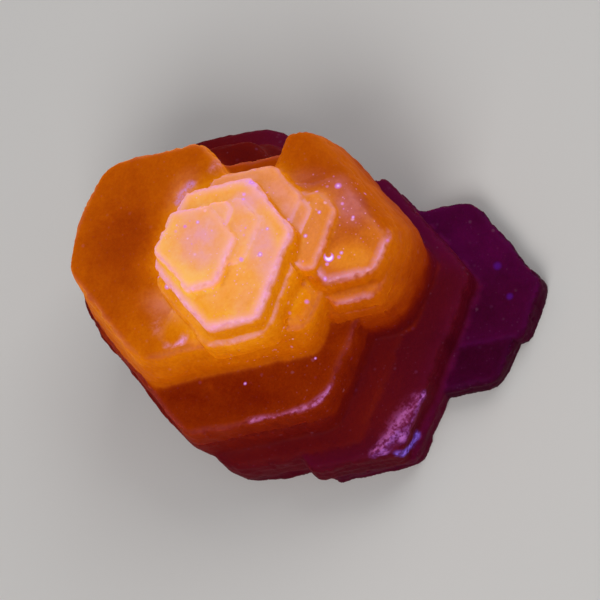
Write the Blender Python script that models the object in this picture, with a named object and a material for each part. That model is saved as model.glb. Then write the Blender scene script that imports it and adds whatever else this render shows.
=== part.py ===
# Poker chip calcite: a stack of thin six-sided calcite crystals, grown together into one piece.
# The crystals share one upright axis of growth, so all their sides face the same six ways, and each
# side is placed by its distance from that axis. Sizes are in millimetres until a mesh is made.
# The specimen rests on its flat base, with the smallest chip, the crown, on top.

import math
import random

import bmesh
import bpy
from mathutils import Vector

MM = 0.001

# Heights of the top faces, from the base up
BASE_TOP = 2.8
BROAD_TOP = 5.7
STEP_TOP = 8.3
SHELF_TOP = 11.4
SADDLE_TOP = 14.4
LEDGE_TOP = 16.1
WEST_TOP = 17.0
EAST_TOP = 17.8
EAST_TERRACE_TOP = 18.3
FOURTH_TOP = 19.4
THIRD_NUB_TOP = 19.8
THIRD_TOP = 20.3
SECOND_TOP = 22.7
SECOND_TERRACE_TOP = 23.1
CROWN_CORNER_TOP = 23.6
CROWN_TOP = 24.0

SIDE_COUNT = 6            # calcite grows six sides, 60 degrees apart
CORNER_RADIUS = 0.9       # upright corners are blunt
CORNER_ROOM = 0.42        # share of a side that the rounding of one of its corners may take
RIM_TOP = 0.3             # narrow chamfer round a top face
RIM_BOTTOM = 0.18         # and round a bottom face
LAYER_OVERLAP = 0.1       # how far one layer of a thick crystal reaches into the next
LAYER_WOBBLE = 0.14       # how far one layer stands out past another
NICK_DEPTH = 0.13         # the most that a stretch of a side stands in or out
NICKED_SIDE = 4.0         # a side longer than this has a nick or two
STOCK = 60                # side of the block that cuts the base flat

CALCITE_COLOUR = (0.72, 0.22, 0.03, 1.0)
CALCITE_ROUGHNESS = 0.45


def clear_scene():
    for item in list(bpy.data.objects):
        bpy.data.objects.remove(item)


def calcite_material():
    material = bpy.data.materials.new("calcite")
    material.use_nodes = True
    shader = material.node_tree.nodes["Principled BSDF"]
    shader.inputs["Base Color"].default_value = CALCITE_COLOUR
    shader.inputs["Roughness"].default_value = CALCITE_ROUGHNESS
    shader.inputs["Metallic"].default_value = 0.0
    return material


def side_directions(index):
    # The outward direction of a side, and the direction along it, anticlockwise
    bearing = index * math.tau / SIDE_COUNT
    outward = Vector((math.cos(bearing), math.sin(bearing)))
    return outward, Vector((-outward.y, outward.x))


def hexagon(sides):
    # The corners of the six-sided figure; corner n lies between side n and the next one
    corners = []
    for index in range(SIDE_COUNT):
        outward, along = side_directions(index)
        reach = (sides[(index + 1) % SIDE_COUNT] - sides[index] * 0.5) / math.sin(math.tau / SIDE_COUNT)
        corners.append(outward * sides[index] + along * reach)
    return corners


def corner_cuts(sides, radii):
    # How far from each corner its rounding begins, kept within the two sides that meet there, which
    # are shortest at the top face, inside the rim
    corners = hexagon([side - RIM_TOP for side in sides])
    lengths = [(corners[index] - corners[index - 1]).length for index in range(SIDE_COUNT)]
    cuts = []
    for index in range(SIDE_COUNT):
        room = CORNER_ROOM * min(lengths[index], lengths[(index + 1) % SIDE_COUNT])
        cuts.append(min(radii[index] * math.tan(math.pi / SIDE_COUNT), room))
    return cuts


def side_lengths(sides, cuts):
    corners = hexagon(sides)
    return [
        (corners[index] - corners[index - 1]).length - cuts[index] - cuts[index - 1]
        for index in range(SIDE_COUNT)
    ]


def growth_nicks(name, sides, cuts):
    # Uneven growth along the sides, different for each chip. A nick is a stretch of one side that
    # stands in, or out if its depth is negative: (side, where it starts, where it ends, depth).
    chance = random.Random(name)
    nicks = []
    for index, length in enumerate(side_lengths(sides, cuts)):
        count = min(2, int(length / NICKED_SIDE))
        for turn in range(count):
            first = (turn + chance.uniform(0.12, 0.4)) / count
            last = (turn + chance.uniform(0.6, 0.9)) / count
            depth = NICK_DEPTH * chance.uniform(0.45, 1.0) * chance.choice((-0.8, 1.0))
            nicks.append((index, first, last, depth))
    return nicks


def outline(sides, cuts, nicks):
    # The rounded six-sided outline of a chip, with a slanting shoulder at each end of a nick
    corners = hexagon(sides)
    points = []
    for index in range(SIDE_COUNT):
        outward, along = side_directions(index)
        start = corners[index - 1] + along * cuts[index - 1]
        end = corners[index] - along * cuts[index]
        points.append(start)
        for side, first, last, depth in nicks:
            if side != index:
                continue
            shoulder = abs(depth) * 0.6 / (end - start).length
            points.append(start.lerp(end, first))
            points.append(start.lerp(end, first + shoulder) - outward * depth)
            points.append(start.lerp(end, last - shoulder) - outward * depth)
            points.append(start.lerp(end, last))
        points.append(end)
        next_along = side_directions(index + 1)[1]
        after = corners[index] + next_along * cuts[index]
        steps = 3 + int(cuts[index])
        for step in range(1, steps):
            share = step / steps
            before_corner = end.lerp(corners[index], share)
            points.append(before_corner.lerp(corners[index].lerp(after, share), share))
    return points


def chip(group, name, top, thickness, sides, spread=0.0, radii=CORNER_RADIUS):
    # One six-sided crystal. sides are its distances from the axis at the top face, anticlockwise
    # from east; spread is how much further out each side is for each millimetre down.
    spreads = spread if isinstance(spread, tuple) else (spread,) * SIDE_COUNT
    radii = radii if isinstance(radii, tuple) else (radii,) * SIDE_COUNT
    cuts = corner_cuts(sides, radii)
    nicks = growth_nicks(name, sides, cuts)
    bottom = top - thickness
    block = bmesh.new()
    rings = []
    levels = ((bottom, RIM_BOTTOM), (bottom + RIM_BOTTOM, 0.0), (top - RIM_TOP, 0.0), (top, RIM_TOP))
    for height, inset in levels:
        level_sides = [sides[index] + spreads[index] * (top - height) - inset for index in range(SIDE_COUNT)]
        ring = [block.verts.new((point.x, point.y, height)) for point in outline(level_sides, cuts, nicks)]
        rings.append(ring)
    block.faces.new(list(reversed(rings[0])))
    block.faces.new(rings[-1])
    count = len(rings[0])
    for lower, upper in zip(rings, rings[1:]):
        for index in range(count):
            after = (index + 1) % count
            block.faces.new((lower[index], lower[after], upper[after], upper[index]))
    bmesh.ops.scale(block, vec=(MM, MM, MM), verts=block.verts[:])
    mesh = bpy.data.meshes.new(name)
    block.to_mesh(mesh)
    block.free()
    piece = bpy.data.objects.new(name, mesh)
    piece.hide_render = True
    piece.display_type = "WIRE"
    group.objects.link(piece)
    return piece


def layered(group, name, top, thickness, layers, sides, spread=0.0, radii=CORNER_RADIUS):
    # A thick crystal built of several layers, each a little larger or smaller than the next, as the
    # edges of a calcite plate show. The top layer keeps the stated sides.
    spreads = spread if isinstance(spread, tuple) else (spread,) * SIDE_COUNT
    step = thickness / layers
    for layer in range(layers):
        depth = layer * step
        layer_sides = []
        for index in range(SIDE_COUNT):
            wobble = math.sin(2.3 * layer + 1.9 * index + top) * LAYER_WOBBLE if layer else 0.0
            layer_sides.append(sides[index] + spreads[index] * depth + wobble)
        overlap = LAYER_OVERLAP if layer < layers - 1 else 0.0
        chip(group, f"{name}_{layer}", top - depth, step + overlap, layer_sides, spreads, radii)


def base_chips(group):
    # The lowest plate: two large crystals side by side, and the wing that runs out to the east
    layered(
        group, "base_west", BASE_TOP, 3.6, 2, (9.9, 20.3, 19.6, 16.3, 15.4, 12.0),
        radii=(4.0, 2.0, 3.0, 4.0, 1.2, 1.2),
    )
    layered(
        group, "base_south", BASE_TOP - 0.05, 3.4, 2, (15.1, 11.9, 12.4, 9.0, 17.0, 15.8),
        radii=(1.5, 1.0, 1.0, 1.0, 1.6, 2.6),
    )
    chip(
        group, "wing_upper", BASE_TOP - 0.1, 3.3, (19.9, 8.9, -2.0, -8.0, 6.7, 21.2),
        (0.05, 0.05, 0.0, 0.0, 0.02, 0.17), (2.6, 2.0, 1.0, 1.0, 2.2, 1.8),
    )
    chip(
        group, "wing_lower", BASE_TOP - 0.2, 3.1, (14.4, 5.6, -4.0, -5.0, 10.7, 20.6),
        (0.0, 0.0, 0.0, 0.0, 0.02, 0.06), (1.0, 1.0, 1.0, 1.0, 2.6, 1.0),
    )


def broad_chips(group):
    chip(
        group, "broad_west", BROAD_TOP, 3.8, (10.4, 20.9, 20.4, 16.6, 15.4, 11.0), 0.02,
        (6.0, 2.0, 3.0, 4.0, 1.6, 1.6),
    )
    chip(
        group, "broad_east", BROAD_TOP - 0.05, 3.6, (14.8, 12.3, 12.2, 10.0, 17.2, 15.0), 0.02,
        (1.3, 1.4, 1.0, 1.0, 1.4, 2.2),
    )


def shelf_chips(group):
    # The two chips below the body, whose rims show in front of it, and the foot of the east lobe
    chip(
        group, "step", STEP_TOP, 3.5, (8.4, 17.9, 20.3, 17.8, 13.2, 8.0), (0.0, 0.0, 0.0, 0.0, 0.05, 0.06),
        (2.0, 2.0, 3.0, 4.6, 2.8, 1.0),
    )
    chip(
        group, "shelf", SHELF_TOP, 3.9, (7.0, 17.3, 20.9, 17.3, 12.9, 7.9), (0.0, 0.0, 0.0, 0.05, 0.04, 0.04),
        (2.0, 2.0, 4.0, 1.8, 4.2, 1.0),
    )
    layered(
        group, "foot_east", SHELF_TOP + 0.2, 6.5, 2, (12.7, 12.9, 6.2, 2.0, 4.7, 11.1),
        (0.05, 0.02, 0.0, 0.0, 0.02, 0.09), (2.0, 2.0, 1.0, 1.0, 4.0, 3.6),
    )


def body_chips(group):
    # The thick chip that carries the stack: a west lobe, an east lobe and the saddle between them
    layered(
        group, "body_west", WEST_TOP, 6.4, 3, (2.7, 15.4, 21.8, 16.0, 6.4, 5.3),
        (0.0, 0.03, 0.02, 0.16, 0.17, 0.02), (2.2, 6.0, 10.0, 4.0, 2.0, 1.2),
    )
    chip(
        group, "west_terrace", WEST_TOP + 0.45, 1.4, (1.5, 1.0, 8.4, 13.0, 5.9, 4.9), 0.1,
        (1.0, 1.0, 1.0, 1.4, 1.0, 1.0),
    )
    chip(group, "saddle", SADDLE_TOP, 4.0, (8.5, 13.4, 12.0, 4.0, 3.0, 3.0), 0.05)
    chip(
        group, "body_east", LEDGE_TOP - 2.4, 5.1, (12.6, 14.0, 5.3, -1.0, 4.7, 10.8),
        (0.18, 0.0, 0.15, 0.0, 0.0, 0.12), (3.4, 4.0, 1.0, 1.0, 3.6, 3.6),
    )
    chip(
        group, "ledge_east", LEDGE_TOP, 4.7, (12.2, 14.0, 4.6, -2.0, 4.6, 10.5),
        (0.2, 0.05, 0.2, 0.0, 0.02, 0.12), (3.0, 4.4, 1.0, 1.0, 3.6, 3.0),
    )


def east_chips(group):
    chip(
        group, "east_top", EAST_TOP, 2.0, (11.4, 13.7, 4.0, -2.0, 3.1, 10.4), (0.3, 0.05, 0.2, 0.0, 0.1, 0.08),
        (2.6, 4.6, 1.0, 1.0, 2.6, 2.6),
    )
    chip(
        group, "east_terrace", EAST_TERRACE_TOP, 1.6, (10.5, 7.8, 1.0, -3.0, 2.8, 10.1), 0.1,
        (2.4, 3.0, 1.0, 1.0, 2.0, 2.4),
    )
    chip(group, "fourth", FOURTH_TOP, 2.5, (8.5, 6.4, 1.9, -2.0, 1.6, 4.6), 0.05, (1.2, 1.6, 1.0, 1.0, 1.6, 1.0))


def west_chips(group):
    # The stack of shrinking chips on the west lobe, up to the crown
    layered(
        group, "third_low", THIRD_TOP, 4.1, 2, (1.7, 6.6, 9.9, 9.9, 7.6, 3.1), 0.05,
        (1.0, 1.0, 1.6, 1.6, 1.8, 1.2),
    )
    chip(
        group, "third_high", THIRD_TOP - 0.1, 3.7, (6.7, 9.8, 8.6, 4.0, 3.6, 1.0), 0.04,
        (2.0, 1.2, 1.0, 1.0, 1.0, 0.8),
    )
    chip(group, "third_nub", THIRD_NUB_TOP, 3.4, (6.6, 5.7, 3.7, 1.0, 1.4, 2.3), 0.04, 0.8)
    layered(
        group, "second", SECOND_TOP, 3.2, 2, (4.0, 7.8, 9.6, 8.9, 6.9, 2.5), 0.05,
        (0.9, 0.7, 1.4, 1.0, 1.2, 1.2),
    )
    chip(
        group, "second_terrace", SECOND_TERRACE_TOP, 1.2, (2.2, 5.8, 6.8, 3.7, 1.0, -0.8), 0.05,
        (1.4, 1.4, 1.0, 1.0, 1.0, 1.6),
    )
    chip(group, "crown_corner", CROWN_CORNER_TOP, 1.5, (0.8, 5.7, 7.6, 4.7, 0.4, -3.7), 0.05, 0.5)
    chip(
        group, "crown", CROWN_TOP, 1.7, (-0.7, 5.5, 9.7, 7.9, 3.0, -2.3), 0.05,
        (0.8, 0.7, 1.2, 0.6, 1.2, 1.0),
    )


def add_boolean(target, name, operation):
    modifier = target.modifiers.new(name, "BOOLEAN")
    modifier.operation = operation
    modifier.solver = "EXACT"
    return modifier


def bench_cutter(collection):
    # Everything below the base is cut away, which leaves one flat face to rest on
    mesh = bpy.data.meshes.new("bench_cutter")
    block = bmesh.new()
    bmesh.ops.create_cube(block, size=STOCK * MM)
    bmesh.ops.translate(block, vec=(0, 0, -STOCK * MM / 2), verts=block.verts[:])
    block.to_mesh(mesh)
    block.free()
    cutter = bpy.data.objects.new("bench_cutter", mesh)
    cutter.hide_render = True
    cutter.display_type = "WIRE"
    collection.objects.link(cutter)
    return cutter


def centre_on_base(pieces):
    # Moves the axis of growth so that the middle of the specimen's box stands over the origin
    corners = [vertex.co for piece in pieces for vertex in piece.data.vertices]
    middle_x = (min(point.x for point in corners) + max(point.x for point in corners)) / 2
    middle_y = (min(point.y for point in corners) + max(point.y for point in corners)) / 2
    for piece in pieces:
        for vertex in piece.data.vertices:
            vertex.co.x -= middle_x
            vertex.co.y -= middle_y


def main():
    clear_scene()
    scene_collection = bpy.context.scene.collection
    chips = bpy.data.collections.new("chips")
    scene_collection.children.link(chips)
    base_chips(chips)
    broad_chips(chips)
    shelf_chips(chips)
    body_chips(chips)
    east_chips(chips)
    west_chips(chips)
    centre_on_base(list(chips.objects))

    calcite = bpy.data.objects.new("calcite", bpy.data.objects["body_west_0"].data)
    calcite.data.materials.append(calcite_material())
    scene_collection.objects.link(calcite)
    chips.objects.unlink(bpy.data.objects["body_west_0"])
    grow = add_boolean(calcite, "grown_together", "UNION")
    grow.operand_type = "COLLECTION"
    grow.collection = chips
    flatten = add_boolean(calcite, "flat_base", "DIFFERENCE")
    flatten.object = bench_cutter(scene_collection)


main()
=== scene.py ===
# Poker chip calcite, glowing as it does under a long-wave ultraviolet lamp.
# One grown stack of thin six-sided plates: the imported solid gives the form, and a finer skin of the
# same form carries the thin layers in its sides, its nicked rims, its frost and its colours, with the glow,
# light and shade of the ultraviolet lamp painted into them.
# Sizes are in millimetres until they go into the mesh, the camera or the lamps.

import math

import bpy
import numpy as np
from mathutils import Matrix, Vector


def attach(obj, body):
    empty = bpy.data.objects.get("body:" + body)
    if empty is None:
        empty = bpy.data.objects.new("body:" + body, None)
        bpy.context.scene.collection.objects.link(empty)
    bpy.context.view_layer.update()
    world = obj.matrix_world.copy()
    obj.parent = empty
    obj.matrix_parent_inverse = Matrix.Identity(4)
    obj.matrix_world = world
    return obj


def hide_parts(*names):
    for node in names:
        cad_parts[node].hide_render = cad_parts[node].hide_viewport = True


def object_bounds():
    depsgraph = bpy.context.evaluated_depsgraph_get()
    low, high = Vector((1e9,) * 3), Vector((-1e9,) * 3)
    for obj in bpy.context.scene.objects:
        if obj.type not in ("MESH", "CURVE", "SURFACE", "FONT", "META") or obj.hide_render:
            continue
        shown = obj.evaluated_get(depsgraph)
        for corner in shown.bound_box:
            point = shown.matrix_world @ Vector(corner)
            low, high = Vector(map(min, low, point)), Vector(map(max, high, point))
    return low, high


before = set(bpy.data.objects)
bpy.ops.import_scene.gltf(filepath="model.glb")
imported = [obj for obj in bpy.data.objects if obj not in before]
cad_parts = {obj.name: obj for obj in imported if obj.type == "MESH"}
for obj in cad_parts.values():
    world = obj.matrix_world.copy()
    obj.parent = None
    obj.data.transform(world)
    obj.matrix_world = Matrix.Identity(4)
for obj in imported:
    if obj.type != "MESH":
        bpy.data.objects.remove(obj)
cadLow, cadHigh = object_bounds()
mm = 0.001
print("frame loaded, box in mm", [round(c / mm, 2) for c in (*cadLow, *cadHigh)])


# Camera: looks steeply down at the stack and is rolled, as the specimen was photographed
cameraSetup = {
    "lens": 180.0,            # mm, a long macro lens
    "sensor": 36.0,
    "distance": 300.0,
    "sight": (10.0, 20000.0), # mm, nothing nearer or farther is seen
    "tilt": 25.0,             # degrees away from straight down
    "roll": 40.0,             # degrees
    "target": (-1.084, -2.439, 8.0),        # on the growth axis
}


def makeCamera(setup):
    lensData = bpy.data.cameras.new("macroCamera")
    lensData.lens = setup["lens"]
    lensData.sensor_width = setup["sensor"]
    lensData.clip_start, lensData.clip_end = (reach * mm for reach in setup["sight"])
    camera = bpy.data.objects.new("macroCamera", lensData)
    bpy.context.scene.collection.objects.link(camera)
    turned = Matrix.Rotation(math.radians(setup["tilt"]), 4, "X")
    turned = turned @ Matrix.Rotation(math.radians(-setup["roll"]), 4, "Z")
    away = turned.to_3x3() @ Vector((0, 0, setup["distance"] * mm))
    camera.matrix_world = Matrix.Translation(Vector(setup["target"]) * mm + away) @ turned
    bpy.context.scene.camera = camera


makeCamera(cameraSetup)
print("camera placed")


# Shader helpers: sums on a Wire add Math nodes, and every other node comes from Wire.node
def linear(red, green, blue):
    # Screen values from 0 to 255, as a colour for a socket
    return (*(((c / 255 + 0.055) / 1.055) ** 2.4 if c > 10 else c / 3295 for c in (red, green, blue)), 1.0)


class Wire:
    def __init__(self, tree, socket):
        self.tree = tree
        self.socket = socket

    @staticmethod
    def node(tree, kind, settings=None, sockets=None, output=0):
        # Settings come first, because some of them change which sockets a node has
        made = tree.nodes.new(kind)
        for name, value in (settings or {}).items():
            if name == "stops":    # of a colour ramp
                while len(made.color_ramp.elements) < len(value):
                    made.color_ramp.elements.new(1.0)
                for element, (place, colour) in zip(made.color_ramp.elements, value):
                    element.position = place
                    element.color = colour
            else:
                setattr(made, name, value)
        for name, value in (sockets or {}).items():
            if isinstance(value, Wire):
                tree.links.new(value.socket, made.inputs[name])
            else:
                made.inputs[name].default_value = value
        return Wire(tree, made.outputs[output])

    def maths(self, operation, first, second):
        return Wire.node(self.tree, "ShaderNodeMath", {"operation": operation}, {0: first, 1: second})

    def __add__(self, other):
        return self.maths("ADD", self, other)

    __radd__ = __add__

    def __sub__(self, other):
        return self.maths("SUBTRACT", self, other)

    def __rsub__(self, other):
        return self.maths("SUBTRACT", other, self)

    def __mul__(self, other):
        return self.maths("MULTIPLY", self, other)

    __rmul__ = __mul__

    def __truediv__(self, other):
        return self.maths("DIVIDE", self, other)

    def __rtruediv__(self, other):
        return self.maths("DIVIDE", other, self)

    def below(self, limit):
        return self.maths("LESS_THAN", self, limit)

    def lesser(self, other):
        return self.maths("MINIMUM", self, other)

    def between(self, low, high):
        # 0 below low, 1 above high, with a smooth rise; low may be the larger, for a fall
        falls = low > high
        values = {0: self, 1: min(low, high), 2: max(low, high), 3: float(falls), 4: float(not falls)}
        return Wire.node(self.tree, "ShaderNodeMapRange", {"interpolation_type": "SMOOTHSTEP"}, values)


def mixed(share, first, second, way="MIX"):
    # The second colour over the first; the share may be a Wire or a number
    tree = next(item.tree for item in (share, first, second) if isinstance(item, Wire))
    settings = {"data_type": "RGBA", "blend_type": way, "clamp_factor": True}
    return Wire.node(tree, "ShaderNodeMix", settings, {0: share, 6: first, 7: second}, 2)


def readMask(tree, name):
    return Wire.node(tree, "ShaderNodeAttribute", {"attribute_name": name}, output=2)


def vectorMaths(tree, operation, sockets, output=0):
    return Wire.node(tree, "ShaderNodeVectorMath", {"operation": operation}, sockets, output)


def lumps(tree, place, size, detail=2.0, roughness=0.5):
    # Noise from 0 to 1 with lumps of that size in mm
    values = {"Vector": place, "Scale": 1.0 / size, "Detail": detail, "Roughness": roughness}
    return Wire.node(tree, "ShaderNodeTexNoise", {"noise_dimensions": "3D"}, values)


# Studio: a pale floor, a pale room and two large soft lamps
studio = {
    "floorSide": 6000.0,
    "floorColour": (218, 216, 212),
    "floorRoughness": 0.7,
    "roomColour": (214, 214, 220),
    "roomStrength": 0.36,
    "lamps": {                # place, side of the square, watts
        "keyLamp": ((-260.0, -330.0, 420.0), 300.0, 1.7),
        "fillLamp": ((360.0, 160.0, 330.0), 420.0, 0.9),
    },
    "lampTarget": (0.0, 0.0, 8.0),
}


def makeStudio(setup):
    half = setup["floorSide"] * mm / 2
    floorMesh = bpy.data.meshes.new("paleFloor")
    corners = [(-half, -half, 0), (half, -half, 0), (half, half, 0), (-half, half, 0)]
    floorMesh.from_pydata(corners, [], [(0, 1, 2, 3)])
    floor = bpy.data.objects.new("paleFloor", floorMesh)
    bpy.context.scene.collection.objects.link(floor)
    paint = bpy.data.materials.new("paleFloor")
    paint.use_nodes = True
    shader = paint.node_tree.nodes["Principled BSDF"]
    shader.inputs["Base Color"].default_value = linear(*setup["floorColour"])
    shader.inputs["Roughness"].default_value = setup["floorRoughness"]
    floorMesh.materials.append(paint)

    room = bpy.data.worlds.new("paleRoom")
    room.use_nodes = True
    background = room.node_tree.nodes["Background"]
    background.inputs["Color"].default_value = linear(*setup["roomColour"])
    background.inputs["Strength"].default_value = setup["roomStrength"]
    bpy.context.scene.world = room

    for name, (place, side, watts) in setup["lamps"].items():
        lampData = bpy.data.lights.new(name, "AREA")
        lampData.shape = "SQUARE"
        lampData.size = side * mm
        lampData.energy = watts
        lamp = bpy.data.objects.new(name, lampData)
        lamp.location = Vector(place) * mm
        aim = (Vector(setup["lampTarget"]) - Vector(place)).normalized()
        lamp.rotation_mode = "QUATERNION"
        lamp.rotation_quaternion = aim.to_track_quat("-Z", "Y")
        bpy.context.scene.collection.objects.link(lamp)
    bpy.context.scene.view_settings.view_transform = "Standard"


makeStudio(studio)
print("floor, room and lamps made")


# The plates of the stack, as they were grown. Each has the height of its top face, its thickness,
# the distances of its six sides from the growth axis (anticlockwise from east), how far the sides
# spread for each mm down, and its looks: the painted light on its top face and on its sides (0 darkest,
# 1 pale yellow), which falls off down the stack and away from the lamp, the painted sheen in its top
# face, how strongly the painted highlight on its rim shows, and how violet it is.
axisPlace = (-1.084, -2.439)
plates = {
    "baseWest": (2.80, 2.8, (9.9, 20.3, 19.6, 16.3, 15.4, 12.0), 0.0, 0.28, 0.18, 0.0, 0.0, 0.10),
    "baseSouth": (2.75, 2.8, (15.1, 11.9, 12.4, 9.0, 17.0, 15.8), 0.0, 0.24, 0.17, 0.0, 0.05, 0.30),
    "wingUpper": (2.70, 2.8, (19.9, 8.9, -2.0, -8.0, 6.7, 21.2), (0.05, 0.05, 0, 0, 0.02, 0.17),
                  0.13, 0.08, 0.0, 0.12, 0.8),
    "wingLower": (2.60, 2.8, (14.4, 5.6, -4.0, -5.0, 10.7, 20.6), (0, 0, 0, 0, 0.02, 0.06),
                  0.08, 0.05, 0.0, 0.10, 0.8),
    "broadWest": (5.70, 3.8, (10.4, 20.9, 20.4, 16.6, 15.4, 11.0), 0.02, 0.33, 0.26, 0.0, 0.0, 0.05),
    "broadEast": (5.65, 3.6, (14.8, 12.3, 12.2, 10.0, 17.2, 15.0), 0.02, 0.265, 0.215, 0.0, 0.0, 0.08),
    "step": (8.30, 3.5, (8.4, 17.9, 20.3, 17.8, 13.2, 8.0), (0, 0, 0, 0, 0.05, 0.06),
             0.375, 0.375, 0.0, 0.0, 0.0),
    "shelf": (11.40, 3.9, (7.0, 17.3, 20.9, 17.3, 12.9, 7.9), (0, 0, 0, 0.05, 0.04, 0.04),
              0.495, 0.485, 0.0, 0.1, 0.0),
    "footEast": (11.60, 6.5, (12.7, 12.9, 6.2, 2.0, 4.7, 11.1), (0.05, 0.02, 0, 0, 0.02, 0.09),
                 0.50, 0.56, 0.0, 0.0, 0.0),
    "bodyWest": (17.00, 6.4, (2.7, 15.4, 21.8, 16.0, 6.4, 5.3), (0, 0.03, 0.02, 0.16, 0.17, 0.02),
                 0.68, 0.775, 0.0, 0.1, 0.0),
    "westTerrace": (17.45, 1.4, (1.5, 1.0, 8.4, 13.0, 5.9, 4.9), 0.1, 0.715, 0.775, 0.0, 0.05, 0.0),
    "saddle": (14.40, 4.0, (8.5, 13.4, 12.0, 4.0, 3.0, 3.0), 0.05, 0.60, 0.60, 0.0, 0.1, 0.0),
    "bodyEast": (13.70, 5.1, (12.6, 14.0, 5.3, -1.0, 4.7, 10.8), (0.18, 0, 0.15, 0, 0, 0.12),
                 0.64, 0.65, 0.0, 0.0, 0.0),
    "ledgeEast": (16.10, 4.7, (12.2, 14.0, 4.6, -2.0, 4.6, 10.5), (0.2, 0.05, 0.2, 0, 0.02, 0.12),
                  0.75, 0.71, 0.03, 0.6, 0.0),
    "eastTop": (17.80, 2.0, (11.4, 13.7, 4.0, -2.0, 3.1, 10.4), (0.3, 0.05, 0.2, 0, 0.1, 0.08),
                0.63, 0.73, 0.0, 0.0, 0.0),
    "eastTerrace": (18.30, 1.6, (10.5, 7.8, 1.0, -3.0, 2.8, 10.1), 0.1, 0.72, 0.73, 0.03, 0.85, 0.0),
    "fourth": (19.40, 2.5, (8.5, 6.4, 1.9, -2.0, 1.6, 4.6), 0.05, 0.82, 0.79, 0.08, 0.6, 0.0),
    "thirdLow": (20.30, 4.1, (1.7, 6.6, 9.9, 9.9, 7.6, 3.1), 0.05, 0.855, 0.83, 0.05, 0.65, 0.0),
    "thirdHigh": (20.20, 3.7, (6.7, 9.8, 8.6, 4.0, 3.6, 1.0), 0.04, 0.87, 0.82, 0.24, 0.75, 0.0),
    "thirdNub": (19.80, 3.4, (6.6, 5.7, 3.7, 1.0, 1.4, 2.3), 0.04, 0.85, 0.81, 0.2, 0.75, 0.0),
    "second": (22.70, 3.2, (4.0, 7.8, 9.6, 8.9, 6.9, 2.5), 0.05, 0.93, 0.84, 0.09, 1.0, 0.0),
    "secondTerrace": (23.10, 1.2, (2.2, 5.8, 6.8, 3.7, 1.0, -0.8), 0.05, 0.94, 0.9, 0.28, 0.5, 0.0),
    "crownCorner": (23.60, 1.5, (0.8, 5.7, 7.6, 4.7, 0.4, -3.7), 0.05, 0.95, 0.9, 0.34, 0.9, 0.0),
    "crown": (24.00, 1.7, (-0.7, 5.5, 9.7, 7.9, 3.0, -2.3), 0.05, 0.935, 0.92, 0.28, 1.0, 0.0),
}
plateNames = list(plates)


# The fine skin: pairs are the size of a noise's lumps and how far it moves the surface, both in mm
skinSetup = {
    "voxel": 0.185,           # mm between points of the skin
    "smoothing": 6,           # rounds that soften the edges, as a worn crystal's are
    "triangles": 190000,
    "footBand": 0.12,         # mm above the resting face that are drawn flat onto it
    "sideSlopes": (0.45, 0.8),  # upward part of the normal at which a side ends
    "topSlopes": (0.7, 0.95),   # and at which a top face begins
    "layer": 0.55,            # thickness of the thin layers in the sides
    "layerDepth": 0.05,       # how far one stands behind the next
    "layerInward": 0.75,      # share of that depth that is cut in, and not built up
    "layerWave": (2.2, 0.12),
    "nickSize": 0.62,         # length of the nicks along the rims
    "nickDepth": 0.24,
    "nickHeight": 0.4,        # how flat the noise lies, so that the nicks stand upright
    "nickFade": 0.9,          # mm below the rim in which the nicks grow shallow
    "nickRest": 0.25,         # share of their depth that they keep further down
    "sideWave": (1.1, 0.035),
    "healedWave": (0.6, 0.06),
    "healedShare": 0.8,       # share of the layers and nicks that is lost where the steps have healed
    "wornDepth": 0.15,        # how deep the chips in the rims are
    "wornReach": 0.6,         # mm from the rim
    "wornSizes": (0.8, 0.45),
    "faceStep": 0.02,         # height of each growth step on the top faces
    "stepPlaces": (0.8, 1.9, 3.4, 5.2),     # mm in from the rim
    "stepWidth": 0.25,
    "stepDrift": ((2.6, 0.5), (0.9, 0.2)),
    "grain": ((0.55, 0.6), (0.3, 0.4)),     # sizes and shares
    "grainHeight": 0.035,
    "wander": 0.15,           # how far the rims wander off their straight lines
    "wanderSize": 2.4,
    "wanderFine": 0.4,        # size and strength of a finer wandering, as shares of the coarse one's
    "wanderShares": (1.0, 1.0, 0.3),        # how much goes along x, along y and upwards
    "meltRounds": 150,        # how far the healed steps have flowed together
    "meltCore": 0.55,         # share of a healed place's reach in which it is fully healed
}
meltedPlaces = [              # where the steps have healed into one soft slope: place, reach and share
    ((13.0, 3.0, 14.0), 8.0, 1.0),
    ((12.5, -6.5, 13.0), 7.6, 1.0),
    ((10.5, -11.5, 11.0), 6.0, 1.0),
    ((5.7, 2.6, 18.2), 2.8, 1.0),
    ((9.2, 0.2, 18.2), 3.6, 1.0),
    ((-1.0, 15.5, 11.0), 6.0, 1.0),
    ((3.0, 16.0, 6.0), 10.0, 0.95),
    ((12.0, 12.0, 5.0), 8.0, 0.9),
    ((-14.6, 0.3, 17.3), 3.4, 1.0),
    ((-16.5, -8.0, 6.0), 7.0, 0.5),
]


def randomAt(cells, seed):
    # A fixed random value from 0 to 1 for each whole-number cell
    key = cells[:, 0] * 73856093 ^ cells[:, 1] * 19349663 ^ cells[:, 2] * 83492791 ^ (seed * 40503)
    key = (key ^ (key >> 13)) * 1274126177 & 0xFFFFFFFF
    key = (key ^ (key >> 16)) * 668265263 & 0xFFFFFFFF
    return ((key ^ (key >> 15)) & 0xFFFF) / 0xFFFF


def softNoise(points, size, seed):
    # Smooth noise from -1 to 1 with lumps of that size
    placed = points / size
    cell = np.floor(placed).astype(np.int64)
    share = placed - cell
    share = share * share * (3 - 2 * share)
    total = np.zeros(len(points))
    for corner in np.ndindex(2, 2, 2):
        weight = np.prod(np.where(np.array(corner) == 1, share, 1 - share), axis=1)
        total += weight * randomAt(cell + np.array(corner), seed)
    return total * 2 - 1


def noiseOf(points, kinds, seed):
    # Noises of several sizes and heights, added up
    return sum(height * softNoise(points, size, seed + turn) for turn, (size, height) in enumerate(kinds))


def softStep(values, low, high):
    # 0 below low, 1 above high, with a smooth rise; low may be the larger, for a fall
    share = np.clip((values - low) / (high - low), 0, 1)
    return share * share * (3 - 2 * share)


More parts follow.
